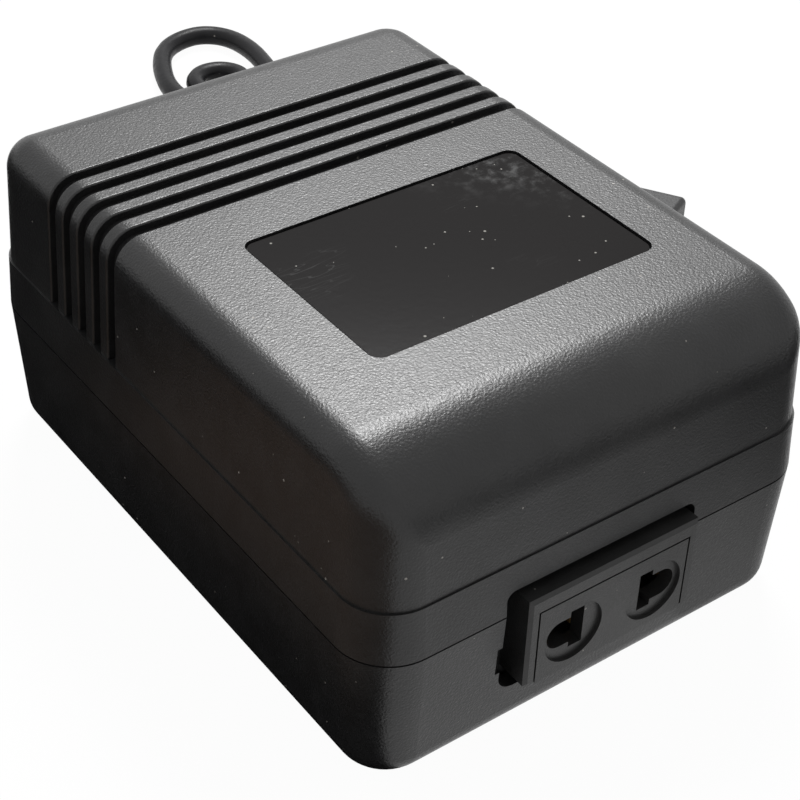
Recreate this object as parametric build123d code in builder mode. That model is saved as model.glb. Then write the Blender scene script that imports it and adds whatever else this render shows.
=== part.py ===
from build123d import *
import math
import os

# Travel voltage converter, millimetres. Origin: centre of the case's footprint on the surface that
# it stands on. +Z is up, the outlet is on the -Y face and the cord leaves the +Y face.

# Case
case_width = 80.0
case_length = 108.5
case_height = 53.6
seam_height = 23.6
ledge_height = 32.2
ledge_step = 0.25
seam_gap = 0.3
wall = 2.4
corner_radius = 8.5
upper_draft = 3.5
lower_draft = 3.0
side_top_radius = 5.0
front_top_radius = 12.5
back_top_radius = 7.5
base_radius = 4.0
overrun = 1.0

# Five grooves that wrap over the top and down both sides
groove_count = 5
groove_first = 32.4
groove_pitch = 4.5
groove_width = 2.1
groove_depth = 1.3
groove_rim_radius = 0.35

# Bare rating plate in its recess
plate_recess_width = 49.4
plate_recess_length = 33.6
plate_recess_depth = 0.8
plate_recess_radius = 2.0
plate_clearance = 0.35
plate_thickness = 0.5
plate_centre_x = 1.5
plate_centre_y = -13.6

# Case screws, from below into the upper shell
case_screw_side_room = 11.5
case_screw_end_room = 10.25
post_radius = 4.5
boss_radius = 4.0
screw_radius = 1.45
screw_clearance = 0.25
pilot_clearance = 0.05
screw_head_radius = 2.8
screw_head_height = 2.0
screw_seat_height = 9.0
screw_well_clearance = 0.5
screw_bite = 12.0
screw_recess_radius = 1.2
screw_recess_depth = 1.1

# Outlet
outlet_height = 16.3
outlet_shift = 0.25
slot_spacing = 12.7
slot_width = 2.4
slot_length = 6.7
pin_hole_spacing = 18.6
pin_hole_radius = 2.35
ring_spacing = 14.7
ring_radius = 5.15
ring_depth = 0.6
flange_width = 30.6
flange_top = 25.85
flange_bottom = 9.9
flange_proud = 1.8
flange_edge = 0.5
frame_top_strip = 2.4
frame_side_strip = 1.55
face_thickness = 3.0
face_clearance = 0.3
outlet_body_depth = 18.0
outlet_body_inset = 0.8
outlet_cavity_inset = 1.1
rim_side_margin = 4.6
rim_top_margin = 2.3
rim_thickness = 1.6
rim_clearance = 0.6
window_left = 18.0
window_right = 15.9
window_bottom = 8.3
window_top = 27.5
window_low_radius = 3.0
window_high_radius = 1.5
clip_notch_depth = 0.8
clip_notch_bottom = 12.5
clip_notch_top = 17.5

# Outlet contacts and back plate
leaf_thickness = 0.5
leaf_height = 5.1
leaf_inner_x = 4.75
leaf_outer_x = 12.0
leaf_bow = 0.25
leaf_front_gap = 0.6
leaf_length = 9.0
tail_length = 8.0
tail_height = 3.0
tail_clearance = 0.2
back_plate_thickness = 2.0
back_plate_inset = 0.3

# Transformer: E and I laminations, 66 x 55
core_side_room = 7.0
core_head_room = 16.1
core_front_room = 36.75
core_back_room = 16.75
core_window_room = 11.0
core_bottom = 13.5
core_joint = 0.05
core_hole_radius = 2.3
bobbin_clearance = 0.3
bobbin_wall = 1.0
bobbin_flange = 1.2
bobbin_end_gap = 0.2
flange_side_gap = 0.4
flange_rise = 1.0
winding_fit = 0.05
inner_winding = 3.8
outer_winding = 3.4
tape_thickness = 0.3
winding_corner = 1.5
core_screw_radius = 2.0
core_screw_head_radius = 3.8
core_screw_head_height = 2.8
core_screw_slot_width = 1.0
core_screw_slot_depth = 1.1
core_screw_bite = 8.0
washer_radius = 4.6
washer_thickness = 0.8
core_post_radius = 4.5

# Terminals, thermal fuse and inner wires
terminal_radius = 0.6
terminal_length = 5.5
terminal_rise = 2.5
output_terminal_x = 8.0
input_terminal_x = -12.0
fuse_x = 5.0
fuse_radius = 1.6
fuse_length = 11.0
fuse_lead_radius = 0.4
fuse_lead_reach = 2.5
fuse_lead_bend = 1.2
fuse_lead_run = 11.05
fuse_gap = 0.05
wire_radius = 0.9
wire_bend = 4.0
wire_stand_off = 6.0
cord_core_spread = 1.1

# Cord, strain relief and tie
cord_diameter = 4.2
cord_gap = 0.5
floor_gap = 0.05
relief_side_room = 20.0
relief_z = 12.9
relief_hole_radius = 4.0
relief_fit = 0.05
relief_seat_gap = 0.35
relief_flange_radius = 5.8
relief_flange_thickness = 1.6
relief_length = 22.0
relief_root_radius = 4.8
relief_tip_radius = 2.7
relief_groove_count = 4
relief_groove_width = 1.2
relief_groove_depth = 0.7
relief_groove_pitch = 3.6
relief_groove_first = 6.0

# The tied hank: its waist, its direction and how far its loops reach from the waist
hank_x = 45.3
hank_y = 105.7
hank_turn = -8.0
waist_rise = 1.2
waist_reach = 14.0
waist_share = 0.45
loop_half = 5.2
near_reach = 34.0
upper_near_reach = 22.0
short_loop_reach = 23.3
upper_loop_reach = 5.0
climb_start = 14.0

# Routes chosen by hand. The long loop in the hank's plane: along, across, and the way that it runs.
hank_stop = 18.0
hank_start = (12.0, -10.0, 0.955, -0.297)
long_loop = [(24.0, -11.7, 0.97, 0.24), (46.3, 2.5, 0.0, 1.0),
             (31.0, 12.4, -0.99, 0.12), (14.0, 11.0, -0.95, -0.3)]
lead_straight = 9.5
lead_points = [(25.2, 94.0, 10.2), (33.6, 99.8, 5.4)]
lead_last_run = 9.9
tail_first_run = 5.5
tail_points = [(50.1, 70.9, 7.1)]
tail_last_run = 7.0
arc_share = 0.45
straight_angle = 0.2
straight_spread = 0.000001
gap_step = 1.0
gap_reach = 12.0
tie_clearance = 0.4
tie_thickness = 0.8
tie_width = 3.6
tie_head_length = 5.0
tie_head_height = 3.0
tie_head_width = 4.6
tie_tail_length = 1.5
tie_slack = 1.8

# Plug lying beside the case
plug_corner_x = 86.95
plug_corner_y = 21.9
plug_turn = 25.8
plug_width = 31.0
plug_shoulder_width = 28.6
plug_rear_width = 12.0
plug_shoulder = 12.0
plug_length = 27.0
plug_height = 15.0
plug_rear_height = 10.0
plug_edge = 1.0
plug_side_edge = 1.6
plug_relief_length = 20.0
plug_relief_root = 4.5
plug_relief_tip = 2.8
blade_spacing = 12.7
blade_thickness = 1.5
blade_width = 6.4
blade_length = 15.9
blade_hold = 9.0
blade_tip = 0.5

upper_slope = math.tan(math.radians(upper_draft))
lower_slope = math.tan(math.radians(lower_draft))
cord_radius = cord_diameter / 2
front_y = -case_length / 2
back_y = case_length / 2
case_screw_x = case_width / 2 - case_screw_side_room
case_screw_y = case_length / 2 - case_screw_end_room
relief_x = case_width / 2 - relief_side_room
core_width = case_width - 2 * core_side_room
core_front = front_y + core_front_room
core_back = back_y - core_back_room
core_centre_y = (core_front + core_back) / 2
core_length = core_back - core_front
core_leg = core_width / 2 - core_window_room
leg_width = core_leg / 2
core_window = core_length - core_leg
core_top = case_height - core_head_room
core_stack = core_top - core_bottom
core_middle = (core_bottom + core_top) / 2


def save(piece, name):
    """Label a finished piece and write it."""
    piece.label = name
    export_step(piece, f"parts/{name}.step")


def half_width(height, inset):
    """Half the upper shell's width at a height, less an inset."""
    return case_width / 2 - ledge_step - upper_slope * (height - seam_height) - inset


def half_length(height, inset):
    """Half the upper shell's length at a height, less an inset."""
    return case_length / 2 - ledge_step - upper_slope * (height - seam_height) - inset


def upper_form(inset):
    """The upper shell's drafted block, or its hollow when inset is the wall, with square side edges."""
    top = case_height - inset
    with BuildPart() as form:
        with BuildSketch(Plane.XY.offset(seam_height)):
            RectangleRounded(2 * half_width(seam_height, inset), 2 * half_length(seam_height, inset),
                             corner_radius - inset)
        extrude(amount=top - seam_height, taper=upper_draft)
        with BuildSketch(Plane.YZ.offset(-case_width)) as side:
            low = half_length(seam_height, inset)
            high = half_length(top, inset)
            with BuildLine():
                Polyline((-low, seam_height), (-high, top), (high, top), (low, seam_height), close=True)
            make_face()
            fillet(side.vertices().group_by(Axis.Y)[-1].sort_by(Axis.X)[0], front_top_radius - inset)
            fillet(side.vertices().group_by(Axis.Y)[-1].sort_by(Axis.X)[-1], back_top_radius - inset)
        extrude(amount=2 * case_width, mode=Mode.INTERSECT)
    return form.part


def lower_form(inset):
    """The lower shell's block, or its hollow when inset is the wall."""
    with BuildPart() as form:
        with BuildSketch(Plane.XY.offset(seam_height)):
            RectangleRounded(case_width - 2 * inset, case_length - 2 * inset, corner_radius - inset)
        extrude(amount=-(seam_height - inset), taper=lower_draft)
        fillet(form.faces().sort_by(Axis.Z)[0].edges(), max(base_radius - inset, wall / 2))
    return form.part


def groove_cutter(place):
    """A ring that cuts one groove over the top and both sides, down to the ledge."""
    low = half_width(ledge_height, groove_depth)
    high = half_width(case_height, groove_depth)
    floor_top = case_height - groove_depth
    with BuildPart() as ring:
        with BuildSketch(Plane(origin=(0, place, 0), x_dir=(1, 0, 0), z_dir=(0, -1, 0))) as band:
            with BuildLine():
                Polyline((-case_width, ledge_height), (-case_width, case_height + overrun),
                         (case_width, case_height + overrun), (case_width, ledge_height), close=True)
            make_face()
            with BuildSketch(mode=Mode.PRIVATE) as inner:
                with BuildLine():
                    Polyline((-low, ledge_height), (-high, floor_top), (high, floor_top),
                             (low, ledge_height), close=True)
                make_face()
                fillet(inner.vertices().group_by(Axis.Y)[-1], side_top_radius - groove_depth)
            add(inner.sketch, mode=Mode.SUBTRACT)
        extrude(amount=groove_width / 2, both=True)
    return ring.part


def window_cutter():
    """The opening for the outlet, through the front walls of both shells."""
    with BuildPart() as window:
        inner_front = Plane(origin=(0, front_y + 2 * wall, 0), x_dir=(1, 0, 0), z_dir=(0, -1, 0))
        with BuildSketch(inner_front) as shape:
            with BuildLine():
                Polyline((-window_left, window_bottom), (-window_left, window_top),
                         (window_right, window_top), (window_right, window_bottom), close=True)
            make_face()
            fillet(shape.vertices().group_by(Axis.Y)[0], window_low_radius)
            fillet(shape.vertices().group_by(Axis.Y)[-1], window_high_radius)
            with BuildLine():
                Polyline((-window_left - clip_notch_depth, clip_notch_bottom),
                         (-window_left - clip_notch_depth, clip_notch_top),
                         (-window_left + overrun, clip_notch_top),
                         (-window_left + overrun, clip_notch_bottom), close=True)
            make_face()
        extrude(amount=3 * wall)
    return window.part


screw_places = [(x, y) for x in (-case_screw_x, case_screw_x) for y in (-case_screw_y, case_screw_y)]
hole_x = core_width / 2 - leg_width / 2
hole_y = core_length / 2 - leg_width / 2
core_places = [(x, core_centre_y + y) for x in (-hole_x, hole_x) for y in (-hole_y, hole_y)]
groove_places = [groove_first - groove_pitch * index for index in range(groove_count)]
with BuildPart() as outer_upper:
    add(upper_form(0))
    top_sides = [edge for edge in outer_upper.edges().filter_by(Axis.Y)
                 if edge.center().Z > case_height - overrun]
    fillet(top_sides, side_top_radius)
inner_upper = upper_form(wall)
outer_lower = lower_form(0)
inner_lower = lower_form(wall)
grooves = [groove_cutter(place) for place in groove_places]
window = window_cutter()

# Bosses that the case screws bite into, ending halfway through the upper shell's wall
with BuildPart() as bosses:
    with BuildSketch(Plane.XY.offset(seam_height)):
        with Locations(*screw_places):
            Circle(boss_radius)
    extrude(amount=case_height - seam_height)
    add(upper_form(wall / 2), mode=Mode.INTERSECT)

# Upper shell: grooves, plate recess, ledge band, screw bosses
with BuildPart() as upper_shell:
    add(outer_upper.part)
    for ring in grooves:
        add(ring, mode=Mode.SUBTRACT)
    rims = [edge for edge in upper_shell.edges().filter_by(Axis.X)
            if abs(edge.center().Z - case_height) < groove_depth / 2
            and groove_places[-1] - groove_width < edge.center().Y < groove_places[0] + groove_width]
    fillet(rims, groove_rim_radius)
    with BuildSketch(Plane.XY.offset(seam_height)):
        RectangleRounded(case_width, case_length, corner_radius)
    extrude(amount=ledge_height - seam_height, taper=upper_draft)
    add(inner_upper, mode=Mode.SUBTRACT)
    with BuildSketch(Plane.XY.offset(case_height)):
        with Locations((plate_centre_x, plate_centre_y)):
            RectangleRounded(plate_recess_width, plate_recess_length, plate_recess_radius)
    extrude(amount=-plate_recess_depth, mode=Mode.SUBTRACT)
    add(bosses)
    with BuildSketch(Plane.XY.offset(seam_height)):
        with Locations(*screw_places):
            Circle(screw_radius + pilot_clearance)
    extrude(amount=screw_bite + overrun, mode=Mode.SUBTRACT)
    add(window, mode=Mode.SUBTRACT)
save(upper_shell.part, "upper_shell")

# Lower shell: screw posts with wells from below, core posts, cord hole
with BuildPart() as lower_shell:
    add(outer_lower)
    add(inner_lower, mode=Mode.SUBTRACT)
    with BuildSketch(Plane.XY.offset(wall)):
        with Locations(*screw_places):
            Circle(post_radius)
    extrude(amount=seam_height - wall)
    with BuildSketch(Plane.XY.offset(wall)):
        with Locations(*core_places):
            Circle(core_post_radius)
    extrude(amount=core_bottom - wall)
    with BuildSketch(Plane.XY):
        with Locations(*screw_places):
            Circle(screw_head_radius + screw_well_clearance)
    extrude(amount=screw_seat_height, mode=Mode.SUBTRACT)
    with BuildSketch(Plane.XY):
        with Locations(*screw_places):
            Circle(screw_radius + screw_clearance)
    extrude(amount=seam_height, mode=Mode.SUBTRACT)
    with BuildSketch(Plane.XY.offset(core_bottom)):
        with Locations(*core_places):
            Circle(core_screw_radius + pilot_clearance)
    extrude(amount=-(core_screw_bite + overrun), mode=Mode.SUBTRACT)
    with BuildSketch(Plane(origin=(relief_x, back_y + overrun, relief_z), x_dir=(1, 0, 0), z_dir=(0, -1, 0))):
        Circle(relief_hole_radius)
    extrude(amount=3 * wall, mode=Mode.SUBTRACT)
    with BuildSketch(Plane.XY.offset(seam_height - seam_gap)):
        RectangleRounded(case_width + overrun, case_length + overrun, corner_radius)
        RectangleRounded(case_width - wall, case_length - wall, corner_radius - wall / 2, mode=Mode.SUBTRACT)
    extrude(amount=2 * seam_gap, mode=Mode.SUBTRACT)
    add(window, mode=Mode.SUBTRACT)
save(lower_shell.part, "lower_shell")

# Rating plate, bare
with BuildPart() as rating_plate:
    with BuildSketch(Plane.XY.offset(case_height - plate_recess_depth)):
        with Locations((plate_centre_x, plate_centre_y)):
            RectangleRounded(plate_recess_width - 2 * plate_clearance,
                             plate_recess_length - 2 * plate_clearance,
                             plate_recess_radius - plate_clearance)
    extrude(amount=plate_thickness)
save(rating_plate.part, "rating_plate")

# Case screws
with BuildPart() as case_screws:
    for place in screw_places:
        with BuildSketch(Plane.XY.offset(screw_seat_height - screw_head_height)):
            with Locations(place):
                Circle(screw_head_radius)
        extrude(amount=screw_head_height)
        with BuildSketch(Plane.XY.offset(screw_seat_height)):
            with Locations(place):
                Circle(screw_radius)
        extrude(amount=seam_height - screw_seat_height + screw_bite)
        with BuildSketch(Plane.XY.offset(screw_seat_height - screw_head_height)):
            with Locations(place):
                RegularPolygon(screw_recess_radius, 6)
        extrude(amount=screw_recess_depth, mode=Mode.SUBTRACT)
save(case_screws.part, "case_screws")

# Outlet frame: flange, retaining rim and box that holds the contacts
face_y = front_y - flange_proud
rim_y = front_y + wall + rim_clearance + lower_slope * (seam_height - window_bottom)
outlet_back = face_y + outlet_body_depth
flange_middle = (flange_top + flange_bottom) / 2
flange_height = flange_top - flange_bottom
face_half = flange_width / 2 - frame_side_strip
face_top = flange_top - frame_top_strip
cavity_half = face_half - outlet_cavity_inset
cavity_low = flange_bottom + 2 * outlet_body_inset
cavity_high = face_top - outlet_cavity_inset


def upright(depth):
    """A plane facing +Y behind the outlet's face, with local x along -X and local y along +Z."""
    return Plane(origin=(0, face_y + depth, 0), x_dir=(-1, 0, 0), z_dir=(0, 1, 0))


with BuildPart() as socket_frame:
    with BuildSketch(upright(0)):
        with Locations((0, flange_middle)):
            Rectangle(flange_width, flange_height)
    extrude(amount=rim_y - face_y)
    chamfer(socket_frame.faces().sort_by(Axis.Y)[0].edges(), flange_edge)
    with BuildSketch(upright(rim_y - face_y)):
        with Locations((0, flange_middle)):
            Rectangle(flange_width + 2 * rim_side_margin, flange_height + 2 * rim_top_margin)
    extrude(amount=rim_thickness)
    with BuildSketch(upright(rim_y - face_y)):
        with Locations((0, flange_middle)):
            Rectangle(flange_width - 2 * outlet_body_inset, flange_height - 2 * outlet_body_inset)
    extrude(amount=outlet_back - rim_y)
    with BuildSketch(upright(0)):
        with Locations((0, (face_top + flange_bottom - overrun) / 2)):
            Rectangle(2 * face_half, face_top - flange_bottom + overrun)
    extrude(amount=face_thickness, mode=Mode.SUBTRACT)
    with BuildSketch(upright(0)):
        with Locations((0, (cavity_low + cavity_high) / 2)):
            Rectangle(2 * cavity_half, cavity_high - cavity_low)
    extrude(amount=outlet_body_depth, mode=Mode.SUBTRACT)
save(socket_frame.part, "socket_frame")

# Outlet face: two apertures, each for a flat or a round pin, in shallow rings
with BuildPart() as socket_face:
    with BuildSketch(upright(0)):
        with Locations((0, (face_top - face_clearance + flange_bottom) / 2)):
            Rectangle(2 * (face_half - face_clearance), face_top - face_clearance - flange_bottom)
    extrude(amount=face_thickness)
    with BuildSketch(upright(0)):
        with Locations((-ring_spacing / 2 - outlet_shift, outlet_height),
                       (ring_spacing / 2 - outlet_shift, outlet_height)):
            Circle(ring_radius)
    extrude(amount=ring_depth, mode=Mode.SUBTRACT)
    with BuildSketch(upright(0)):
        for side in (-1, 1):
            with Locations((side * slot_spacing / 2 - outlet_shift, outlet_height)):
                Rectangle(slot_width, slot_length)
            with Locations((side * pin_hole_spacing / 2 - outlet_shift, outlet_height)):
                Circle(pin_hole_radius)
            with Locations((side * (slot_spacing + pin_hole_spacing) / 4 - outlet_shift, outlet_height)):
                Rectangle((pin_hole_spacing - slot_spacing) / 2, 2 * pin_hole_radius)
    extrude(amount=face_thickness, mode=Mode.SUBTRACT)
save(socket_face.part, "socket_face")

# Contacts: each a folded brass strip with a tail through the back plate
leaf_start = face_y + face_thickness + leaf_front_gap
leaf_end = leaf_start + leaf_length
tail_x = (leaf_inner_x + leaf_outer_x) / 2


def contact(side):
    """One folded contact; side is -1 for the left one and 1 for the right one."""
    with BuildPart() as strip:
        with BuildSketch(Plane.XY.offset(outlet_height - leaf_height / 2)):
            with BuildLine():
                Polyline((outlet_shift + side * leaf_inner_x, leaf_start),
                         (outlet_shift + side * (leaf_inner_x + leaf_bow), (leaf_start + leaf_end) / 2),
                         (outlet_shift + side * leaf_inner_x, leaf_end),
                         (outlet_shift + side * leaf_outer_x, leaf_end),
                         (outlet_shift + side * (leaf_outer_x - leaf_bow), (leaf_start + leaf_end) / 2),
                         (outlet_shift + side * leaf_outer_x, leaf_start))
                offset(amount=leaf_thickness / 2)
            make_face()
        extrude(amount=leaf_height)
        with BuildSketch(Plane.XY.offset(outlet_height - tail_height / 2)):
            with Locations((outlet_shift + side * tail_x, leaf_end + tail_length / 2)):
                Rectangle(leaf_thickness, tail_length)
        extrude(amount=tail_height)
    return strip


contact_left = contact(-1)
save(contact_left.part, "contact_left")
contact_right = contact(1)
save(contact_right.part, "contact_right")

# Back plate that closes the outlet's box
back_plate_y = leaf_end + leaf_thickness
with BuildPart() as socket_back:
    with BuildSketch(upright(back_plate_y - face_y)):
        with Locations((0, (cavity_low + cavity_high) / 2)):
            Rectangle(2 * (cavity_half - back_plate_inset), cavity_high - cavity_low - 2 * back_plate_inset)
        with Locations((-tail_x - outlet_shift, outlet_height), (tail_x - outlet_shift, outlet_height)):
            Rectangle(leaf_thickness + 2 * tail_clearance, tail_height + 2 * tail_clearance,
                      mode=Mode.SUBTRACT)
    extrude(amount=back_plate_thickness)
save(socket_back.part, "socket_back")

# Laminated core: E stack with its legs towards the outlet, I stack across their ends
leg_end = core_front + leg_width
with BuildPart() as core_e:
    with BuildSketch(Plane.XY.offset(core_bottom)):
        with Locations((0, (leg_end + core_back) / 2)):
            Rectangle(core_width, core_back - leg_end)
        for side in (-1, 1):
            with Locations((side * (core_leg + core_window_room) / 2, leg_end + core_window / 2)):
                Rectangle(core_window_room, core_window, mode=Mode.SUBTRACT)
        with Locations(*[place for place in core_places if place[1] > core_centre_y]):
            Circle(core_hole_radius, mode=Mode.SUBTRACT)
    extrude(amount=core_stack)
save(core_e.part, "core_e")

with BuildPart() as core_i:
    with BuildSketch(Plane.XY.offset(core_bottom)):
        with Locations((0, core_front + (leg_width - core_joint) / 2)):
            Rectangle(core_width, leg_width - core_joint)
        with Locations(*[place for place in core_places if place[1] < core_centre_y]):
            Circle(core_hole_radius, mode=Mode.SUBTRACT)
    extrude(amount=core_stack)
save(core_i.part, "core_i")

# Core screws and their washers
with BuildPart() as core_washers:
    with BuildSketch(Plane.XY.offset(core_top)):
        with Locations(*core_places):
            Circle(washer_radius)
            Circle(core_hole_radius, mode=Mode.SUBTRACT)
    extrude(amount=washer_thickness)
save(core_washers.part, "core_washers")

screw_seat = core_top + washer_thickness
with BuildPart() as core_screws:
    with BuildSketch(Plane.XY.offset(screw_seat)):
        with Locations(*core_places):
            Circle(core_screw_head_radius)
    extrude(amount=core_screw_head_height)
    with BuildSketch(Plane.XY.offset(core_bottom - core_screw_bite)):
        with Locations(*core_places):
            Circle(core_screw_radius)
    extrude(amount=screw_seat - core_bottom + core_screw_bite)
    with BuildSketch(Plane.XY.offset(screw_seat + core_screw_head_height)):
        with Locations(*core_places):
            Rectangle(2 * core_screw_head_radius, core_screw_slot_width)
            Rectangle(core_screw_slot_width, 2 * core_screw_head_radius)
    extrude(amount=-core_screw_slot_depth, mode=Mode.SUBTRACT)
save(core_screws.part, "core_screws")

# Bobbin on the middle leg, with the windings and their tape around it
bobbin_half = core_window / 2 - bobbin_end_gap
winding_half = bobbin_half - bobbin_flange - winding_fit
tube_inner_x = core_leg / 2 + bobbin_clearance
tube_inner_z = core_stack / 2 + bobbin_clearance
tube_x = tube_inner_x + bobbin_wall
tube_z = tube_inner_z + bobbin_wall
flange_x = core_width / 2 - leg_width - flange_side_gap
winding_depth = inner_winding + outer_winding + 3 * winding_fit + tape_thickness
flange_z = tube_z + winding_depth + flange_rise
terminal_z = core_top + terminal_rise
fused_x = fuse_x + fuse_length / 2 + fuse_lead_reach
joined_x = fuse_x - fuse_length / 2 - fuse_lead_reach


def across(place):
    """A plane facing +Y at a place along the coil's axis, with local x along -X and local y along +Z."""
    return Plane(origin=(0, place, core_middle), x_dir=(-1, 0, 0), z_dir=(0, 1, 0))


def sleeve(inner_x, inner_z, thickness):
    """A rounded rectangular layer around the middle leg, between the bobbin's flanges."""
    with BuildPart() as layer:
        with BuildSketch(across(core_centre_y - winding_half)):
            corner = winding_corner + inner_x - tube_x
            RectangleRounded(2 * (inner_x + thickness), 2 * (inner_z + thickness), corner + thickness)
            RectangleRounded(2 * inner_x, 2 * inner_z, corner, mode=Mode.SUBTRACT)
        extrude(amount=2 * winding_half)
    return layer


with BuildPart() as bobbin:
    with BuildSketch(across(core_centre_y - bobbin_half)):
        RectangleRounded(2 * tube_x, 2 * tube_z, winding_corner)
    extrude(amount=2 * bobbin_half)
    for start in (core_centre_y - bobbin_half, core_centre_y + bobbin_half - bobbin_flange):
        with BuildSketch(across(start)):
            RectangleRounded(2 * flange_x, 2 * flange_z, winding_corner)
        extrude(amount=bobbin_flange)
    with BuildSketch(across(core_centre_y - bobbin_half)):
        Rectangle(2 * tube_inner_x, 2 * tube_inner_z)
    extrude(amount=2 * bobbin_half, mode=Mode.SUBTRACT)
save(bobbin.part, "bobbin")

inner_x = tube_x + winding_fit
inner_z = tube_z + winding_fit
primary_winding = sleeve(inner_x, inner_z, inner_winding)
save(primary_winding.part, "primary_winding")
outer_x = inner_x + inner_winding + winding_fit
outer_z = inner_z + inner_winding + winding_fit
secondary_winding = sleeve(outer_x, outer_z, outer_winding)
save(secondary_winding.part, "secondary_winding")
tape_x = outer_x + outer_winding + winding_fit
tape_z = outer_z + outer_winding + winding_fit
winding_tape = sleeve(tape_x, tape_z, tape_thickness)
save(winding_tape.part, "winding_tape")

# Terminals: two at the front for the outlet, three at the back for the mains and the fuse
with BuildPart() as terminals:
    with BuildSketch(across(core_centre_y + bobbin_half)):
        with Locations(*[(-x, terminal_z - core_middle) for x in (input_terminal_x, joined_x, fused_x)]):
            Circle(terminal_radius)
    extrude(amount=terminal_length)
    with BuildSketch(across(core_centre_y - bobbin_half)):
        with Locations(*[(x, terminal_z - core_middle) for x in (-output_terminal_x, output_terminal_x)]):
            Circle(terminal_radius)
    extrude(amount=-terminal_length)
save(terminals.part, "terminals")

# Thermal fuse lying on the tape, its leads bent down onto two of the back terminals
fuse_z = core_middle + tape_z + tape_thickness + fuse_gap + fuse_radius
back_terminal_y = core_centre_y + bobbin_half + terminal_length / 2
fuse_y = back_terminal_y - fuse_lead_run
with BuildPart() as thermal_fuse:
    with BuildSketch(Plane(origin=(fuse_x - fuse_length / 2, fuse_y, fuse_z), z_dir=(1, 0, 0))):
        Circle(fuse_radius)
    extrude(amount=fuse_length)
    for end, lead_x in ((fuse_x + fuse_length / 2, fused_x), (fuse_x - fuse_length / 2, joined_x)):
        with BuildLine() as lead:
            FilletPolyline((end, fuse_y, fuse_z), (lead_x, fuse_y, fuse_z), (lead_x, back_terminal_y, fuse_z),
                           (lead_x, back_terminal_y, terminal_z + terminal_radius), radius=fuse_lead_bend)
        with BuildSketch(Plane(origin=lead.line @ 0, z_dir=lead.line % 0)):
            Circle(fuse_lead_radius)
        sweep()
save(thermal_fuse.part, "thermal_fuse")

# Strain relief moulded round the cord, gripping the lower shell's back wall from both sides
wall_outer_y = back_y - lower_slope * (seam_height - relief_z)
relief_inner_y = wall_outer_y - wall - relief_seat_gap - relief_flange_thickness
relief_tip_y = wall_outer_y + relief_seat_gap + relief_length


def back_plane(place):
    """A plane facing +Y at the strain relief, with local x along -X."""
    return Plane(origin=(relief_x, place, relief_z), x_dir=(-1, 0, 0), z_dir=(0, 1, 0))


with BuildPart() as strain_relief:
    with BuildSketch(back_plane(relief_inner_y)):
        Circle(relief_flange_radius)
    extrude(amount=relief_flange_thickness)
    with BuildSketch(back_plane(relief_inner_y)):
        Circle(relief_hole_radius - relief_fit)
    extrude(amount=relief_tip_y - relief_length - relief_inner_y)
    with BuildSketch(back_plane(relief_tip_y - relief_length)):
        Circle(relief_root_radius)
    with BuildSketch(back_plane(relief_tip_y)):
        Circle(relief_tip_radius)
    loft()
    for index in range(relief_groove_count):
        start = relief_tip_y - relief_length + relief_groove_first + relief_groove_pitch * index
        slope = (relief_root_radius - relief_tip_radius) / relief_length
        surface = relief_root_radius - slope * (start + relief_groove_width - relief_tip_y + relief_length)
        with BuildSketch(back_plane(start)):
            Circle(relief_root_radius)
            Circle(surface - relief_groove_depth, mode=Mode.SUBTRACT)
        extrude(amount=relief_groove_width, mode=Mode.SUBTRACT)
save(strain_relief.part, "strain_relief")


def wire(points, bend, radius):
    """One inner wire along straight runs with a bend at each corner."""
    with BuildPart() as tube:
        with BuildLine() as path:
            FilletPolyline(*points, radius=bend)
        with BuildSketch(Plane(origin=path.line @ 0, z_dir=path.line % 0)):
            Circle(radius)
        sweep()
    return tube.part


# Inner wires: the cord's two cores to the back terminals, and the front terminals to the contacts
terminal_back = core_centre_y + bobbin_half + terminal_length
terminal_front = core_centre_y - bobbin_half - terminal_length
behind_core = core_back + wire_stand_off
before_core = core_front - wire_stand_off
with BuildPart() as input_wires:
    for side, end_x in ((-1, input_terminal_x), (1, fused_x)):
        start_x = relief_x + side * cord_core_spread
        add(wire([(start_x, relief_inner_y, relief_z), (start_x, behind_core, relief_z),
                  (end_x, behind_core, terminal_z), (end_x, terminal_back, terminal_z)],
                 wire_bend, wire_radius))
save(input_wires.part, "input_wires")

contact_tail_y = leaf_end + tail_length
with BuildPart() as output_wires:
    for side in (-1, 1):
        terminal_x = side * output_terminal_x
        contact_x = outlet_shift + side * tail_x
        add(wire([(terminal_x, terminal_front, terminal_z), (terminal_x, before_core, terminal_z),
                  (contact_x, before_core, outlet_height), (contact_x, contact_tail_y, outlet_height)],
                 wire_bend, wire_radius))
save(output_wires.part, "output_wires")

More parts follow.
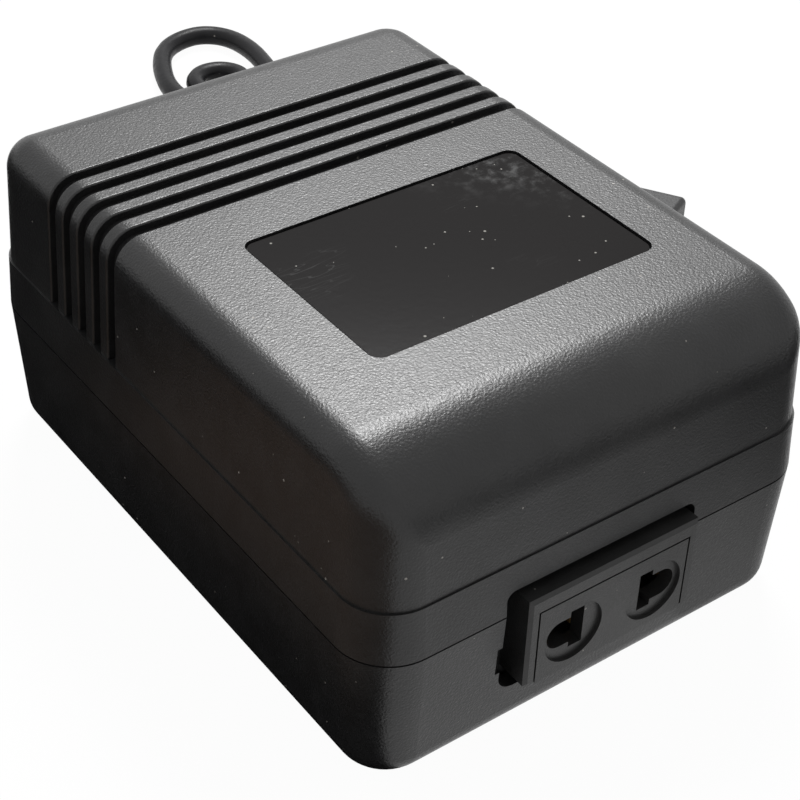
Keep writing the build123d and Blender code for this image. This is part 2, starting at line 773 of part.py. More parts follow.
# Plug: moulded body with a tapered relief, on a plane whose y runs from its front face to the cord
plug_x_dir = Vector(math.cos(math.radians(plug_turn)), math.sin(math.radians(plug_turn)), 0)
plug_origin = Vector(plug_corner_x, plug_corner_y, 0) - plug_x_dir * (plug_width / 2)
plug_base = Plane(origin=plug_origin, x_dir=plug_x_dir, z_dir=(0, 0, 1))
plug_axis_z = plug_height / 2
plug_rear = Plane(origin=plug_base.from_local_coords((0, plug_length, plug_axis_z)),
                  x_dir=-plug_x_dir, z_dir=plug_base.y_dir)
plug_front = Plane(origin=plug_base.from_local_coords((0, 0, plug_axis_z)),
                   x_dir=-plug_x_dir, z_dir=plug_base.y_dir)
with BuildPart() as plug_body:
    for depth, width, height in ((0, plug_width, plug_height),
                                 (plug_shoulder, plug_shoulder_width, plug_height),
                                 (plug_length, plug_rear_width, plug_rear_height)):
        with BuildSketch(plug_front.offset(depth)):
            RectangleRounded(width, height, plug_side_edge)
    loft(ruled=True)
    fillet(plug_body.faces().sort_by(Axis(plug_front.origin, plug_front.z_dir))[0].edges(), plug_edge)
    with BuildSketch(plug_rear):
        Circle(plug_relief_root)
    with BuildSketch(plug_rear.offset(plug_relief_length)):
        Circle(plug_relief_tip)
    loft()
    for side in (-1, 1):
        with BuildSketch(plug_base.offset(plug_axis_z - blade_width / 2)):
            with Locations((side * blade_spacing / 2, blade_hold / 2)):
                Rectangle(blade_thickness, blade_hold)
        extrude(amount=blade_width, mode=Mode.SUBTRACT)
save(plug_body.part, "plug_body")

with BuildPart() as plug_blades:
    for side in (-1, 1):
        with BuildSketch(plug_base.offset(plug_axis_z - blade_width / 2)):
            with Locations((side * blade_spacing / 2, (blade_hold - blade_length) / 2)):
                Rectangle(blade_thickness, blade_hold + blade_length)
        extrude(amount=blade_width)
    tips = plug_blades.faces().group_by(Axis(plug_base.origin, plug_base.y_dir))[0].edges()
    chamfer(tips, blade_tip)
save(plug_blades.part, "plug_blades")

# The hank: along its own axis s, across it u, and up. A node of its route is a place and a direction.
cord_pitch = cord_diameter + cord_gap
hank_plane = Plane(origin=(hank_x, hank_y, 0), z_dir=(0, 0, 1)).rotated((0, 0, hank_turn))
lower_z = cord_radius + floor_gap
upper_z = lower_z + cord_pitch


def node(along, side, height, along_way, side_way, climb=0):
    """A place of the hank's route and the direction in which the route passes it."""
    place = hank_plane.from_local_coords((side, along, height))
    end = hank_plane.from_local_coords((side + side_way, along + along_way, height + climb))
    return place, (end - place).normalized()


def waist_column(column):
    """Where a column, 0 to 3 from the left, passes the tie."""
    return (column - 3 / 2) * cord_pitch


def end_column(column):
    """Where a column lies at the open end of the loops."""
    side = 1 if column > 1 else -1
    outer = column in (0, 3)
    return side * (loop_half + (cord_pitch if outer else 0))


def run(column, way, start_z, end_z, reach):
    """The nodes of one run past the tie, drawn in and lifted there; a climb ends at its reach."""
    slope = (end_column(column) - waist_column(column)) / near_reach
    beside = waist_column(column) + waist_share * (end_column(column) - waist_column(column))
    climb = (end_z - start_z) / (reach + climb_start)
    middle_z = start_z + climb * climb_start
    after_z = middle_z + climb * waist_reach
    return [node(-way * waist_reach, beside, start_z, way, -slope),
            node(0, waist_column(column), middle_z + waist_rise, way, 0, climb),
            node(way * waist_reach, beside, after_z, way, slope, climb)]


def turn(centre, start, stop, height):
    """The nodes of a half turn at one end of the loops, in two quarters."""
    way = math.copysign(1, centre)
    reach = abs(stop - start) / 2
    return [node(centre, start, height, way, 0),
            node(centre + way * reach, (start + stop) / 2, height, 0, math.copysign(1, stop - start)),
            node(centre, stop, height, -way, 0)]


def join(start, end):
    """Two tangent arcs, or a straight run, from one node of a route to the next."""
    (place, way), (end_place, end_way) = start, end
    gap = end_place - place
    if gap.get_angle(way) + gap.get_angle(end_way) < straight_angle:
        Line(place, end_place)
        return
    both = way + end_way
    spread = 2 - 2 * way.dot(end_way)
    reach = gap.dot(gap) / (2 * gap.dot(both))
    if spread > straight_spread:
        reach = (math.sqrt(gap.dot(both) ** 2 + spread * gap.dot(gap)) - gap.dot(both)) / spread
    middle = (place + way * reach + end_place - end_way * reach) * (1 / 2)
    TangentArc(place, middle, tangent=way)
    TangentArc(middle, end_place, tangent=middle - place - way * reach)


# The route: long loop as photographed, then pairs of runs and turns, the last ones on the upper layer
start_along, start_across, start_way, start_side_way = hank_start
raised_z = lower_z + waist_rise
first_place, first_way = node(start_along, start_across, raised_z, start_way, start_side_way)
hank_nodes = [(first_place + first_way * cord_diameter, first_way)]
hank_nodes += [node(along, side, lower_z, way, side_way) for along, side, way, side_way in long_loop]
hank_nodes += run(3, -1, lower_z, lower_z, near_reach)[1:]
hank_nodes += turn(-near_reach, end_column(3), end_column(1), lower_z)
hank_nodes += run(1, 1, lower_z, lower_z, near_reach)
hank_nodes += turn(short_loop_reach, end_column(1), end_column(2), lower_z)
hank_nodes += run(2, -1, lower_z, upper_z, upper_near_reach)
hank_nodes += turn(-upper_near_reach, end_column(2), end_column(1), upper_z)
hank_nodes += run(1, 1, upper_z, upper_z, near_reach)[:-1]
hank_nodes += turn(upper_loop_reach, waist_column(1), waist_column(3), upper_z + waist_rise)
hank_nodes += run(3, -1, upper_z, upper_z, near_reach)[1:-1]
last_place, last_way = node(-hank_stop, end_column(3), upper_z, -1, 0)
hank_nodes += [(last_place, last_way)]
hank_end = last_place + last_way * cord_diameter


def tube(path):
    """A round tube of the cord's diameter along a path."""
    with BuildPart() as body:
        with BuildSketch(Plane(origin=path @ 0, z_dir=path % 0)):
            Circle(cord_radius)
        sweep(path=path)
    return body


with BuildLine() as hank_path:
    Line(first_place, hank_nodes[0][0])
    for start, end in zip(hank_nodes, hank_nodes[1:]):
        join(start, end)
    Line(last_place, hank_end)
hank_wire = hank_path.wire()
cord_hank = tube(hank_wire)
save(cord_hank.part, "cord_hank")

hank_length = hank_wire.length
count = int(hank_length / gap_step)
samples = [hank_wire.position_at(index / count) for index in range(count + 1)]
apart = int(gap_reach / gap_step)
least = min((samples[i] - samples[j]).length for i in range(count + 1) for j in range(i + apart, count + 1))
hank_radii = [edge.radius for edge in hank_wire.edges().filter_by(GeomType.CIRCLE)]
hank_volume_ratio = cord_hank.part.volume / (hank_length * math.pi * cord_radius ** 2)
print("hank: length", round(hank_length, 1), "least gap to itself", round(least - cord_diameter, 2),
      "least arc radius", round(min(hank_radii), 1), "volume over section times length",
      round(hank_volume_ratio, 4))


def free_stretch(points, name):
    """A tube of straight runs joined by tangent arcs as large as their runs allow."""
    places = [Vector(*point) for point in points]
    radii = []
    for before, here, after in zip(places, places[1:], places[2:]):
        shorter = min((here - before).length, (after - here).length)
        half_turn = math.radians((here - before).get_angle(after - here)) / 2
        radii.append(arc_share * shorter / math.tan(half_turn))
    with BuildLine() as route:
        FilletPolyline(*places, radius=radii)
    stretch = tube(route.wire())
    length = route.wire().length
    volume_ratio = stretch.part.volume / (length * math.pi * cord_radius ** 2)
    print(name, "length", round(length, 1), "radii", [round(radius, 1) for radius in radii],
          "volume over section times length", round(volume_ratio, 4))
    save(stretch.part, name)
    return length


relief_tip = (relief_x, relief_tip_y, relief_z)
relief_ahead = (relief_x, relief_tip_y + lead_straight, relief_z)
lead_end = first_place
lead_before = first_place - first_way * lead_last_run
lead_length = free_stretch([relief_tip, relief_ahead, *lead_points, lead_before, lead_end], "cord_lead")
plug_tip = plug_rear.offset(plug_relief_length)
tail_before = plug_tip.origin + plug_tip.z_dir * tail_last_run
tail_ahead = hank_end + last_way * tail_first_run
tail_route = [hank_end, tail_ahead, *tail_points, tail_before, plug_tip.origin]
tail_length_laid = free_stretch(tail_route, "cord_tail")
print("cord length", round(lead_length + hank_length + tail_length_laid, 1))

# Cable tie round the waist: a band, its head on top and its cut tail
band_half = 3 / 2 * cord_pitch + cord_radius + tie_clearance
band_low = raised_z - cord_radius - tie_clearance
band_high = raised_z + cord_pitch + cord_radius + tie_clearance
band_plane = Plane(origin=hank_plane.from_local_coords((0, -tie_width / 2, 0)),
                   x_dir=-hank_plane.x_dir, z_dir=hank_plane.y_dir)
band_left = band_half + tie_slack
band_corners = [(-band_half, band_low), (band_left, band_low), (band_left, band_high - cord_pitch),
                (band_half - cord_pitch, band_high), (-band_half, band_high)]
with BuildPart() as cable_tie:
    with BuildSketch(band_plane):
        with BuildLine():
            Polyline(*band_corners, close=True)
            offset(amount=tie_thickness)
        make_face()
        with BuildLine():
            Polyline(*band_corners, close=True)
        make_face(mode=Mode.SUBTRACT)
    extrude(amount=tie_width)
    head_plane = Plane(origin=hank_plane.from_local_coords((0, 0, band_high + tie_thickness)),
                       x_dir=hank_plane.x_dir, z_dir=(0, 0, 1))
    with BuildSketch(head_plane):
        Rectangle(tie_head_length, tie_head_width)
    extrude(amount=tie_head_height)
    with BuildSketch(head_plane.offset(tie_head_height)):
        Rectangle(tie_thickness, tie_width)
    extrude(amount=tie_tail_length)
save(cable_tie.part, "cable_tie")
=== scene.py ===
import bpy, math
from mathutils import Matrix, Vector


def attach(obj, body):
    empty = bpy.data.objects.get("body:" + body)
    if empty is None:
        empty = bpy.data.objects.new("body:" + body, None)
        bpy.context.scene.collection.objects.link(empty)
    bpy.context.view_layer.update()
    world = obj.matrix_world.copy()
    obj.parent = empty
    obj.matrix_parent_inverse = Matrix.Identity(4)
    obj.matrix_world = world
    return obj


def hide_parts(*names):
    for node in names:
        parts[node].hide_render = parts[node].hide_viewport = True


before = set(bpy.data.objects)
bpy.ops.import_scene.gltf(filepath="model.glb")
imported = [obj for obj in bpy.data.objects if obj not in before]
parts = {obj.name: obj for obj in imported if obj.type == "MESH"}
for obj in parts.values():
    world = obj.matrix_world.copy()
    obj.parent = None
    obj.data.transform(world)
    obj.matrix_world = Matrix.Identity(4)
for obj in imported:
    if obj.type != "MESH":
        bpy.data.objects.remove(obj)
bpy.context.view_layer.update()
bpy.ops.object.select_all(action="DESELECT")
scene = bpy.context.scene
scene.view_settings.view_transform = "Standard"
mm = 0.001

# The camera: its place, the way that it looks and how far it is rolled
camera_place = Vector((-0.13801, -0.18833, 0.19824))
look_turn, look_down, look_roll = 0.6455, 0.6580, 0.0328
forward = Vector((math.sin(look_turn) * math.cos(look_down), math.cos(look_turn) * math.cos(look_down),
                  -math.sin(look_down)))
level = Vector((math.cos(look_turn), -math.sin(look_turn), 0))
rise = level.cross(forward)
right = level * math.cos(look_roll) + rise * math.sin(look_roll)
top = rise * math.cos(look_roll) - level * math.sin(look_roll)
film_width = 36
focal_length = 83.77
near_limit = 0.01
far_limit = 20
bpy.ops.object.camera_add(location=camera_place)
camera = bpy.context.object
camera.name = "camera"
turned = Matrix((right, top, -forward)).transposed().to_4x4()
camera.matrix_world = Matrix.Translation(camera_place) @ turned
camera.data.sensor_width = film_width
camera.data.lens = focal_length
camera.data.clip_start = near_limit
camera.data.clip_end = far_limit
scene.camera = camera

# The cord: out of its strain relief, down to the floor, through the tied hank and on to the plug
cord_thickness = 4.2 * mm
lead = [(0.0200, 0.0760, 0.0129), (0.0200, 0.0865, 0.0129), (0.0250, 0.0946, 0.0100),
        (0.0336, 0.0996, 0.0052), (0.0385, 0.1101, 0.00335), (0.0374, 0.1200, 0.00335)]
hank = [(0.0373, 0.1310, 0.0023), (0.0405, 0.1403, 0.00215), (0.0449, 0.1478, 0.00215),
        (0.0508, 0.1511, 0.00215), (0.0571, 0.1511, 0.00215), (0.0617, 0.1462, 0.00215),
        (0.0626, 0.1376, 0.00215), (0.0607, 0.1278, 0.00215), (0.0571, 0.1162, 0.00215),
        (0.0521, 0.1047, 0.0035), (0.0516, 0.0907, 0.00215), (0.0512, 0.0766, 0.00215),
        (0.0502, 0.0675, 0.00215), (0.0450, 0.0635, 0.00215), (0.0386, 0.0644, 0.00215),
        (0.0347, 0.0697, 0.00215), (0.0365, 0.0787, 0.00215), (0.0397, 0.0924, 0.00215),
        (0.0431, 0.1060, 0.0035), (0.0435, 0.1185, 0.00215), (0.0430, 0.1255, 0.00215),
        (0.0434, 0.1317, 0.00215), (0.0471, 0.1346, 0.00215), (0.0515, 0.1340, 0.00215),
        (0.0543, 0.1302, 0.00215), (0.0530, 0.1242, 0.00215), (0.0507, 0.1175, 0.00215),
        (0.0475, 0.1054, 0.0052), (0.0469, 0.0913, 0.0059), (0.0475, 0.0857, 0.00685),
        (0.0474, 0.0810, 0.00685), (0.0436, 0.0781, 0.00685), (0.0393, 0.0787, 0.00685),
        (0.0365, 0.0825, 0.00685), (0.0376, 0.0871, 0.00685), (0.0401, 0.0943, 0.00685),
        (0.0431, 0.1060, 0.0083), (0.0438, 0.1129, 0.00805), (0.0472, 0.1155, 0.00805),
        (0.0509, 0.1150, 0.00805), (0.0535, 0.1115, 0.00805), (0.0521, 0.1047, 0.0083),
        (0.0527, 0.0925, 0.00685), (0.0520, 0.0823, 0.00685)]
tail = [(0.0510, 0.0769, 0.00685), (0.0497, 0.0706, 0.0071), (0.0495, 0.0637, 0.0075),
        (0.05255, 0.05743, 0.0075)]
route = lead + hank + tail
cord_curve = bpy.data.curves.new("cord", "CURVE")
cord_curve.dimensions = "3D"
cord_line = cord_curve.splines.new("NURBS")
cord_line.points.add(len(route) - 1)
for point, place in zip(cord_line.points, route):
    point.co = (*place, 1)
    point.radius = cord_thickness / 2
cord_line.order_u = 3
cord_line.use_endpoint_u = True
cord_line.resolution_u = 8
cord_curve.bevel_depth = 1  # each point's radius gives the thickness
cord_curve.bevel_resolution = 5
cord_curve.use_fill_caps = True
cord = bpy.data.objects.new("cord", cord_curve)
scene.collection.objects.link(cord)
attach(cord, "root")
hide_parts("cord_lead", "cord_hank", "cord_tail")


# Node groups that more than one finish uses
def start_group(name, inputs, outputs):
    """A new shader node group with float or vector inputs and float outputs."""
    group = bpy.data.node_groups.new(name, "ShaderNodeTree")
    for label, value in inputs:
        kind = "NodeSocketVector" if label == "Vector" else "NodeSocketFloat"
        socket = group.interface.new_socket(label, in_out="INPUT", socket_type=kind)
        if value is not None:
            socket.default_value = value
    for label in outputs:
        group.interface.new_socket(label, in_out="OUTPUT", socket_type="NodeSocketFloat")
    start = group.nodes.new("NodeGroupInput")
    end = group.nodes.new("NodeGroupOutput")
    return group, start.outputs, end.inputs


def add_math(tree, kind, first, second=0.5):
    """A maths node whose two values are sockets or plain numbers."""
    node = tree.nodes.new("ShaderNodeMath")
    node.operation = kind
    for place, value in enumerate((first, second)):
        if isinstance(value, (int, float)):
            node.inputs[place].default_value = value
        else:
            tree.links.new(value, node.inputs[place])
    return node.outputs[0]


def add_ramp(tree, value, low, high, start=0.0, stop=1.0):
    """A smooth step from start to stop as value goes from low to high."""
    node = tree.nodes.new("ShaderNodeMapRange")
    node.interpolation_type = "SMOOTHSTEP"
    tree.links.new(value, node.inputs["Value"])
    for label, number in (("From Min", low), ("From Max", high), ("To Min", start), ("To Max", stop)):
        node.inputs[label].default_value = number
    return node.outputs["Result"]


def add_noise(tree, vector, scale, detail=2.0, roughness=0.5):
    """Soft noise, its scale a socket or a number of waves in a metre."""
    node = tree.nodes.new("ShaderNodeTexNoise")
    tree.links.new(vector, node.inputs["Vector"])
    if isinstance(scale, (int, float)):
        node.inputs["Scale"].default_value = scale
    else:
        tree.links.new(scale, node.inputs["Scale"])
    node.inputs["Detail"].default_value = detail
    node.inputs["Roughness"].default_value = roughness
    return node.outputs["Fac"]


def add_seen(tree):
    """One for rays from the camera, from a gloss or through something clear, else zero."""
    ray = tree.nodes.new("ShaderNodeLightPath").outputs
    clear = add_math(tree, "MAXIMUM", ray["Is Glossy Ray"], ray["Is Transmission Ray"])
    return add_math(tree, "MAXIMUM", ray["Is Camera Ray"], clear)


def make_grain():
    """Spark-eroded grain: rounded pits and peaks, as many in a metre as the scale says."""
    group, given, made = start_group("spark_grain", [("Vector", None), ("Scale", 2400.0)],
                                     ["Height", "Tone", "Polish"])
    pits = group.nodes.new("ShaderNodeTexVoronoi")
    pits.feature = "SMOOTH_F1"
    pits.inputs["Smoothness"].default_value = 0.35
    group.links.new(given["Vector"], pits.inputs["Vector"])
    group.links.new(given["Scale"], pits.inputs["Scale"])
    fine = add_noise(group, given["Vector"], given["Scale"], 2.0, 0.6)
    height = add_math(group, "ADD", add_math(group, "MULTIPLY", pits.outputs["Distance"], 0.5), fine)
    group.links.new(height, made["Height"])
    coarse = add_noise(group, given["Vector"], add_math(group, "MULTIPLY", given["Scale"], 0.06), 4.0)
    group.links.new(add_ramp(group, coarse, 0.3, 0.7), made["Tone"])
    glints = add_noise(group, given["Vector"], add_math(group, "MULTIPLY", given["Scale"], 1.3), 1.0)
    group.links.new(add_ramp(group, glints, 0.3, 0.7), made["Polish"])
    return group


def make_dust():
    """Small pale specks, one in a few cells, and a thin uneven film."""
    inputs = [("Vector", None), ("Scale", 240.0), ("Share", 0.3), ("Size", 0.06)]
    group, given, made = start_group("dust", inputs, ["Specks", "Film"])
    cells = group.nodes.new("ShaderNodeTexVoronoi")
    group.links.new(given["Vector"], cells.inputs["Vector"])
    group.links.new(given["Scale"], cells.inputs["Scale"])
    pick = group.nodes.new("ShaderNodeSeparateColor")
    group.links.new(cells.outputs["Color"], pick.inputs["Color"])
    chosen = add_math(group, "LESS_THAN", pick.outputs["Red"], given["Share"])
    reach = add_math(group, "MULTIPLY", given["Size"], add_math(group, "ADD", pick.outputs["Green"], 0.3))
    near = add_math(group, "LESS_THAN", cells.outputs["Distance"], reach)
    group.links.new(add_math(group, "MULTIPLY", chosen, near), made["Specks"])
    haze = add_noise(group, given["Vector"], 35.0, 6.0, 0.62)
    group.links.new(add_ramp(group, haze, 0.42, 0.75), made["Film"])
    return group


def make_scratches():
    """Fine straight marks that run two ways and fade in and out."""
    inputs = [("Vector", None), ("Scale", 60.0), ("Width", 0.02)]
    group, given, made = start_group("scratches", inputs, ["Marks"])
    fade = add_ramp(group, add_noise(group, given["Vector"], 55.0, 1.0), 0.55, 0.68)
    ways = []
    for turn, stretch in ((0.6, 9.0), (-1.1, 7.0)):
        slant = group.nodes.new("ShaderNodeMapping")
        slant.inputs["Rotation"].default_value = (0.2, 0.1, turn)
        slant.inputs["Scale"].default_value = (1.0, stretch, 1.0)
        group.links.new(given["Vector"], slant.inputs["Vector"])
        wave = add_noise(group, slant.outputs["Vector"], given["Scale"], 1.0)
        distance = add_math(group, "ABSOLUTE", add_math(group, "SUBTRACT", wave, 0.5))
        line = add_math(group, "LESS_THAN", distance, given["Width"])
        ways.append(add_math(group, "MULTIPLY", line, fade))
    group.links.new(add_math(group, "MAXIMUM", *ways), made["Marks"])
    return group


grain_group = make_grain()
dust_group = make_dust()
scratch_group = make_scratches()


# Finishes
def start_finish(name, roughness, specular=0.5, metallic=0.0):
    """A material with one Principled shader that reads object coordinates."""
    finish = bpy.data.materials.new(name)
    finish.use_nodes = True
    tree = finish.node_tree
    shader = tree.nodes["Principled BSDF"]
    shader.inputs["Roughness"].default_value = roughness
    shader.inputs["Specular IOR Level"].default_value = specular
    shader.inputs["Metallic"].default_value = metallic
    place = tree.nodes.new("ShaderNodeTexCoord").outputs["Object"]
    return finish, tree, shader, place


def use_group(tree, group, vector, **values):
    """Places a node group in a material and returns its outputs."""
    node = tree.nodes.new("ShaderNodeGroup")
    node.node_tree = group
    tree.links.new(vector, node.inputs["Vector"])
    for label, value in values.items():
        node.inputs[label].default_value = value
    return node.outputs


def mix_colours(tree, share, first, second):
    """A mix of two colours, each a socket or three numbers."""
    node = tree.nodes.new("ShaderNodeMix")
    node.data_type = "RGBA"
    tree.links.new(share, node.inputs["Factor"])
    for place, colour in ((6, first), (7, second)):
        if isinstance(colour, tuple):
            node.inputs[place].default_value = (*colour, 1)
        else:
            tree.links.new(colour, node.inputs[place])
    return node.outputs[2]


def add_bump(tree, shader, height, strength, distance):
    """Bump from a height, with the strength and distance set on the node."""
    node = tree.nodes.new("ShaderNodeBump")
    node.inputs["Strength"].default_value = strength
    node.inputs["Distance"].default_value = distance
    tree.links.new(height, node.inputs["Height"])
    tree.links.new(node.outputs["Normal"], shader.inputs["Normal"])


film_tone = (0.06, 0.058, 0.054)
speck_tone = (0.34, 0.32, 0.29)
speck_cover = 0.6
dust_scale = 380.0
dust_share = 0.35


def moulded(name, dark, light, roughness, grain_scale, grain_depth, specular=0.4, film=0.1, polish=0.06):
    """Moulded plastic: two close tones, grain with small glints, specks of dust and a thin film."""
    finish, tree, shader, place = start_finish(name, roughness, specular)
    grain = use_group(tree, grain_group, place, Scale=grain_scale)
    dust = use_group(tree, dust_group, place, Scale=dust_scale, Share=dust_share)
    base = mix_colours(tree, grain["Tone"], dark, light)
    hazy = add_math(tree, "MULTIPLY", dust["Film"], film)
    dusty = mix_colours(tree, hazy, base, film_tone)
    covered = add_math(tree, "MULTIPLY", dust["Specks"], speck_cover)
    specked = mix_colours(tree, covered, dusty, speck_tone)
    tree.links.new(specked, shader.inputs["Base Color"])
    tree.links.new(add_ramp(tree, grain["Polish"], 0.0, 1.0, roughness - polish, roughness + polish),
                   shader.inputs["Roughness"])
    add_bump(tree, shader, grain["Height"], 1.0, grain_depth)
    return finish


def metal(name, dark, light, roughness, lines, stretch):
    """Rolled or plated metal: drawn lines one way and uneven tarnish."""
    finish, tree, shader, place = start_finish(name, roughness, 0.5, 1.0)
    slant = tree.nodes.new("ShaderNodeMapping")
    slant.inputs["Scale"].default_value = stretch
    tree.links.new(place, slant.inputs["Vector"])
    drawn = add_noise(tree, slant.outputs["Vector"], lines, 2.0)
    stain = add_ramp(tree, add_noise(tree, place, 160.0, 4.0), 0.35, 0.7)
    tree.links.new(mix_colours(tree, stain, light, dark), shader.inputs["Base Color"])
    tree.links.new(add_ramp(tree, stain, 0.0, 1.0, roughness, roughness + 0.15), shader.inputs["Roughness"])
    add_bump(tree, shader, drawn, 0.4, 0.05 * mm)
    return finish


def banded(name, dark, light, roughness, pitch, axis, metallic, depth):
    """Layers or wires side by side: rounded bands along one axis, each a little different, with painted
    shade in the hollows between bands and a painted highlight on their crowns.
    """
    finish, tree, shader, place = start_finish(name, roughness, 0.5, metallic)
    split = tree.nodes.new("ShaderNodeSeparateXYZ")
    tree.links.new(place, split.inputs["Vector"])
    turns = add_math(tree, "MULTIPLY", split.outputs[axis], math.tau / pitch)
    round_top = add_math(tree, "ABSOLUTE", add_math(tree, "SINE", add_math(tree, "MULTIPLY", turns, 0.5)))
    height = add_math(tree, "POWER", round_top, 0.5)
    uneven = add_ramp(tree, add_noise(tree, place, 300.0, 3.0), 0.2, 0.8, 0.6, 1.0)
    # Painted shade and highlight: the colour follows each band's rounded height, darker in the hollows
    # between bands and lighter on their crowns, times an uneven random tone.
    shade_and_tone = add_math(tree, "MULTIPLY", height, uneven)
    tree.links.new(mix_colours(tree, shade_and_tone, dark, light), shader.inputs["Base Color"])
    add_bump(tree, shader, height, 0.8, depth)
    return finish


case_finish = moulded("case_plastic", (0.007, 0.007, 0.0073), (0.011, 0.011, 0.0115), 0.36, 2600.0,
                      0.05 * mm, polish=0.05)
outlet_finish = moulded("outlet_plastic", (0.011, 0.011, 0.011), (0.016, 0.016, 0.016), 0.4, 3600.0,
                        0.03 * mm)
cord_finish = moulded("cord_pvc", (0.008, 0.008, 0.009), (0.013, 0.013, 0.014), 0.36, 900.0, 0.02 * mm,
                      specular=0.12)
plug_finish = moulded("plug_pvc", (0.008, 0.008, 0.009), (0.013, 0.013, 0.014), 0.42, 2600.0, 0.04 * mm)
tie_finish = moulded("tie_nylon", (0.01, 0.01, 0.01), (0.015, 0.015, 0.015), 0.35, 2000.0, 0.02 * mm)
bobbin_finish = moulded("bobbin_nylon", (0.55, 0.52, 0.44), (0.68, 0.66, 0.58), 0.5, 1500.0, 0.03 * mm,
                        film=0.4)
fuse_finish = moulded("fuse_white", (0.66, 0.64, 0.6), (0.74, 0.72, 0.68), 0.4, 1800.0, 0.02 * mm)
wire_finish = moulded("wire_insulation", (0.012, 0.012, 0.016), (0.02, 0.02, 0.026), 0.4, 1200.0, 0.02 * mm)
brass_finish = metal("contact_brass", (0.35, 0.2, 0.07), (0.68, 0.45, 0.16), 0.3, 900.0, (1.0, 8.0, 1.0))
blade_finish = metal("blade_brass", (0.42, 0.36, 0.24), (0.62, 0.57, 0.45), 0.28, 1200.0, (8.0, 1.0, 1.0))
screw_finish = metal("screw_steel", (0.25, 0.25, 0.25), (0.5, 0.5, 0.52), 0.35, 1500.0, (1.0, 1.0, 6.0))
# In the banded finishes the first colour is the painted shade in the hollows between bands and the second
# the painted highlight on their crowns.
core_finish = banded("core_steel", (0.03, 0.026, 0.022), (0.16, 0.15, 0.14), 0.45, 0.5 * mm, "Z", 0.8,
                     0.08 * mm)
copper_finish = banded("winding_copper", (0.16, 0.045, 0.015), (0.55, 0.2, 0.07), 0.3, 0.9 * mm, "Y", 0.9,
                       0.15 * mm)


def make_tape():
    """Yellow polyester tape with the wires' ridges showing through."""
    finish, tree, shader, place = start_finish("tape_yellow", 0.35)
    crease = add_noise(tree, place, 420.0, 4.0)
    yellow = mix_colours(tree, add_ramp(tree, crease, 0.3, 0.7), (0.45, 0.27, 0.02), (0.62, 0.4, 0.04))
    tree.links.new(yellow, shader.inputs["Base Color"])
    add_bump(tree, shader, crease, 0.5, 0.1 * mm)
    return finish


scuff_start = 4 * mm
scuff_full = 26 * mm


def make_plate():
    """Black enamel on the bare plate: a scuffed corner, hairlines and worn specks."""
    finish, tree, shader, place = start_finish("plate_black", 0.25, 0.06)
    dust = use_group(tree, dust_group, place, Scale=620.0, Share=0.22, Size=0.1)
    marks = use_group(tree, scratch_group, place, Scale=90.0, Width=0.008)
    split = tree.nodes.new("ShaderNodeSeparateXYZ")
    tree.links.new(place, split.inputs["Vector"])
    slant = add_math(tree, "ADD", split.outputs["X"], split.outputs["Y"])
    corner = add_ramp(tree, slant, scuff_start, scuff_full)
    smear = add_ramp(tree, add_noise(tree, place, 420.0, 7.0, 0.7), 0.45, 0.75)
    scuff = add_math(tree, "MULTIPLY", corner, smear)
    base = mix_colours(tree, scuff, (0.007, 0.006, 0.006), (0.07, 0.07, 0.07))
    lined = mix_colours(tree, add_math(tree, "MULTIPLY", marks["Marks"], 0.12), base, (0.2, 0.2, 0.2))
    specked = mix_colours(tree, add_math(tree, "MULTIPLY", dust["Specks"], 0.7), lined, (0.4, 0.39, 0.36))
    tree.links.new(specked, shader.inputs["Base Color"])
    tree.links.new(add_ramp(tree, scuff, 0.0, 1.0, 0.16, 0.42), shader.inputs["Roughness"])
    add_bump(tree, shader, add_noise(tree, place, 900.0, 3.0), 0.25, 0.03 * mm)
    return finish


tape_finish = make_tape()
plate_finish = make_plate()
finishes = {
    "upper_shell": case_finish, "lower_shell": case_finish, "rating_plate": plate_finish,
    "case_screws": screw_finish, "socket_frame": outlet_finish, "socket_face": outlet_finish,
    "contact_left": brass_finish, "contact_right": brass_finish, "socket_back": outlet_finish,
    "core_e": core_finish, "core_i": core_finish, "core_washers": screw_finish, "core_screws": screw_finish,
    "bobbin": bobbin_finish, "primary_winding": copper_finish, "secondary_winding": copper_finish,
    "winding_tape": tape_finish, "terminals": brass_finish, "thermal_fuse": fuse_finish,
    "strain_relief": plug_finish, "input_wires": wire_finish, "output_wires": wire_finish,
    "plug_body": plug_finish, "plug_blades": blade_finish, "cord_lead": cord_finish,
    "cord_hank": cord_finish, "cord_tail": cord_finish, "cable_tie": tie_finish,
}
for name, finish in finishes.items():
    mesh = parts[name].data
    if not mesh.materials:
        mesh.materials.append(finish)
    for place in parts[name].material_slots:
        place.material = finish
cord_curve.materials.append(cord_finish)


# The stage: the floor, two cards that only reflections see, one soft box and the world
white = (1, 1, 1, 1)
floor_size = 6
floor_drop = 0.2 * mm
card_drop = 0.1 * mm
white_share = 0.965
plain_level = 0.45
white_level = 1.0
box_place = Vector((0.27, 0.355, 0.61))
box_aim = Vector((0, 0, 0.05))
box_size = 0.24
box_watts = 6.5


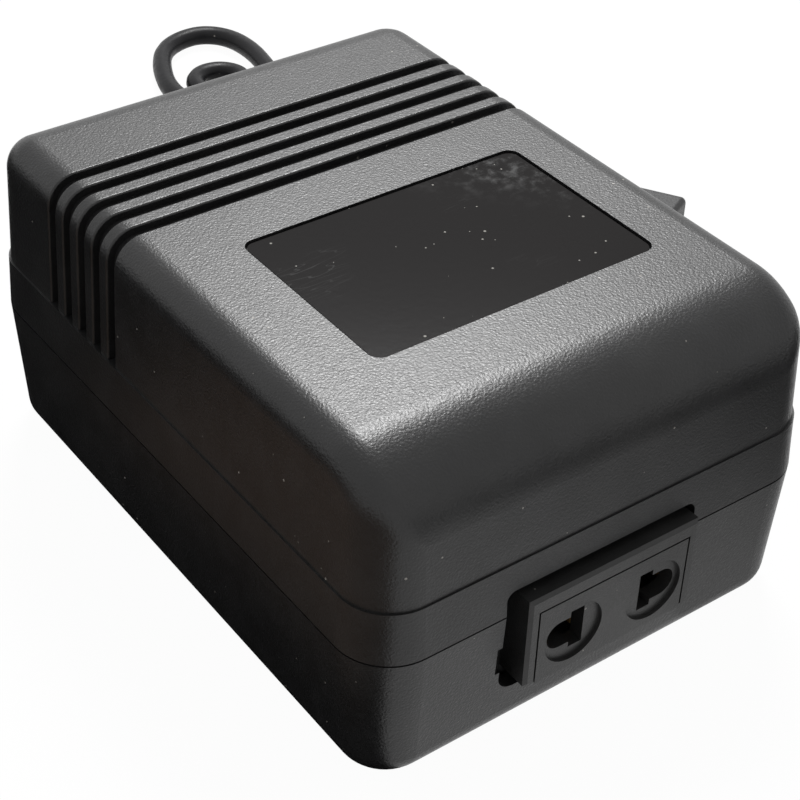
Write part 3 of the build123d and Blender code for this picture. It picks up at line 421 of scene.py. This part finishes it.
def make_floor_finish():
    """Pale floor that is white to the camera where no shadow falls."""
    finish, tree, shader, place = start_finish("floor_paper", 0.8, 0.2)
    tooth = add_noise(tree, place, 300.0, 3.0)
    paper = mix_colours(tree, tooth, (0.82, 0.82, 0.82), (0.86, 0.86, 0.86))
    tree.links.new(paper, shader.inputs["Base Color"])
    glow = tree.nodes.new("ShaderNodeEmission")
    glow.inputs["Color"].default_value = white
    blend = tree.nodes.new("ShaderNodeMixShader")
    tree.links.new(add_math(tree, "MULTIPLY", add_seen(tree), white_share), blend.inputs["Fac"])
    tree.links.new(shader.outputs["BSDF"], blend.inputs[1])
    tree.links.new(glow.outputs["Emission"], blend.inputs[2])
    tree.links.new(blend.outputs["Shader"], tree.nodes["Material Output"].inputs["Surface"])
    return finish


bpy.ops.mesh.primitive_plane_add(size=floor_size, location=(0, 0, -floor_drop))
floor = bpy.context.object
floor.name = "floor"
floor.data.materials.append(make_floor_finish())


def add_card(name, corners, fades, dark, pale):
    """A card on the floor that only reflections see, pale where every fade along an axis is full."""
    finish = bpy.data.materials.new(name)
    finish.use_nodes = True
    tree = finish.node_tree
    tree.nodes.remove(tree.nodes["Principled BSDF"])
    split = tree.nodes.new("ShaderNodeSeparateXYZ")
    tree.links.new(tree.nodes.new("ShaderNodeTexCoord").outputs["Object"], split.inputs["Vector"])
    near = 1.0
    for axis, start, stop in fades:
        near = add_math(tree, "MULTIPLY", add_ramp(tree, split.outputs[axis], start, stop), near)
    glow = tree.nodes.new("ShaderNodeEmission")
    tree.links.new(mix_colours(tree, near, dark, pale), glow.inputs["Color"])
    tree.links.new(glow.outputs["Emission"], tree.nodes["Material Output"].inputs["Surface"])
    mesh = bpy.data.meshes.new(name)
    mesh.from_pydata([(*corner, 0) for corner in corners], [], [tuple(range(len(corners)))])
    mesh.materials.append(finish)
    card = bpy.data.objects.new(name, mesh)
    scene.collection.objects.link(card)
    card.location.z = -card_drop
    card.visible_camera = False
    card.visible_diffuse = False
    card.visible_transmission = False
    card.visible_shadow = False


# Where the case's gloss picks them up: a dark brown card at its left, a grey one at its front right
left_corners = [(-0.90, -0.30), (-0.16, -0.30), (-0.042, -0.058), (-0.030, -0.050), (-0.030, 0.80),
                (-0.90, 0.80)]
left_fades = [("X", -0.052, -0.068), ("Y", 0.070, 0.025)]
add_card("left_card", left_corners, left_fades, (0.006, 0.006, 0.006), (0.24, 0.17, 0.13))
front_corners = [(0.02, -0.50), (0.60, -0.50), (0.60, -0.052), (0.02, -0.052)]
front_fades = [("X", 0.10, 0.02)]
add_card("front_card", front_corners, front_fades, (0.08, 0.08, 0.08), (0.75, 0.75, 0.75))

# The soft box: behind the case at its right, higher than the top mirrors to the camera
bpy.ops.object.light_add(type="AREA", location=box_place)
soft_box = bpy.context.object
soft_box.name = "top_box"
soft_box.data.shape = "SQUARE"
soft_box.data.size = box_size
soft_box.data.energy = box_watts
soft_box.rotation_euler = (box_aim - box_place).to_track_quat("-Z", "Y").to_euler()

# The world: a plain level of light, and white where it is seen or mirrored
world = bpy.data.worlds.new("studio")
scene.world = world
world.use_nodes = True
world_tree = world.node_tree
plain = world_tree.nodes["Background"]
plain.inputs["Color"].default_value = white
plain.inputs["Strength"].default_value = plain_level
bright = world_tree.nodes.new("ShaderNodeBackground")
bright.inputs["Color"].default_value = white
bright.inputs["Strength"].default_value = white_level
both = world_tree.nodes.new("ShaderNodeMixShader")
world_tree.links.new(add_seen(world_tree), both.inputs["Fac"])
world_tree.links.new(plain.outputs["Background"], both.inputs[1])
world_tree.links.new(bright.outputs["Background"], both.inputs[2])
world_tree.links.new(both.outputs["Shader"], world_tree.nodes["World Output"].inputs["Surface"])
